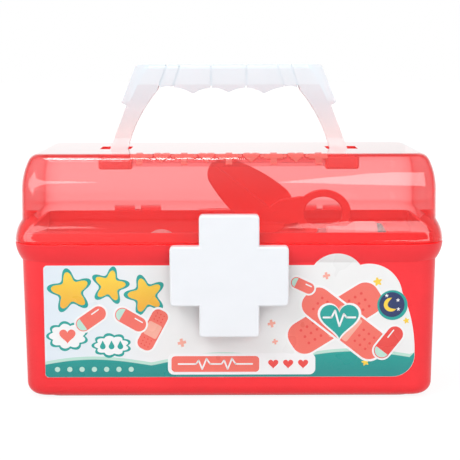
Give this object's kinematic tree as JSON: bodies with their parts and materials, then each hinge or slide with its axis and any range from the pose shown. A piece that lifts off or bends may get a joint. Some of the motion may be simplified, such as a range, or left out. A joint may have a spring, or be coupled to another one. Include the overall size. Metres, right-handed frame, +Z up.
{
  "type": "toy doctor case",
  "caption": "Toy doctor case with a hinged clear red lid, a swing-down cross clasp, a tilting carry handle and toy instruments that stand in a tray inside.",
  "frame": {"origin": "bottom centre of the bounding box of the closed case with its handle upright, on the surface it stands on", "axes": "+X runs along the length of the case, to the right as its front is faced; +Y runs from the front with the clasp to the back with the hinges; +Z is up"},
  "size_m": [0.245, 0.15, 0.1896],
  "materials": {
    "tub_red": "smooth glossy opaque red moulding",
    "label_print": "printed satin sticker",
    "steel_pin": "plain drawn wire",
    "lid_clear_red": "clear glossy red moulding",
    "white_plastic": "smooth white moulding",
    "tray_red": "smooth red moulding",
    "tool_red": "smooth red moulding",
    "tool_white": "smooth white moulding",
    "tool_teal": "smooth teal moulding"
  },
  "bodies": {
    "case_base": {"base_shell": "tub_red", "front_label": "label_print", "hinge_pin_left": "steel_pin", "hinge_pin_right": "steel_pin", "clasp_pin": "steel_pin", "tool_tray": "tray_red", "scissors_blade_rear": "tool_red", "scissors_rivet": "tool_red", "medicine_bottle": "tool_white", "bottle_cap": "tool_white", "otoscope_handle": "tool_red", "otoscope_head": "tool_white", "otoscope_lens": "tool_teal", "otoscope_collar": "tool_teal", "otoscope_cone": "tool_red"},
    "lid": {"lid_shell": "lid_clear_red"},
    "handle": {"carry_handle": "white_plastic"},
    "clasp": {"cross_clasp": "white_plastic"},
    "scissors_front": {"scissors_blade_front": "tool_red"}
  },
  "joints": [
    {"name": "lid_hinge", "type": "hinge", "parent": "case_base", "child": "lid", "pos_m": [0, 0.071, 0.0915], "axis": [-1, 0, 0], "range_deg": [0, 110]},
    {"name": "handle_pivot", "type": "hinge", "parent": "lid", "child": "handle", "pos_m": [0, 0, 0.1344], "axis": [1, 0, 0], "range_deg": [-45, 45]},
    {"name": "clasp_hinge", "type": "hinge", "parent": "case_base", "child": "clasp", "pos_m": [0, -0.068, 0.043], "axis": [1, 0, 0], "range_deg": [0, 95]},
    {"name": "scissors_pivot", "type": "hinge", "parent": "case_base", "child": "scissors_front", "pos_m": [0.0308, 0.0459, 0.0937], "axis": [0, -1, 0], "range_deg": [0, 25]}
  ]
}
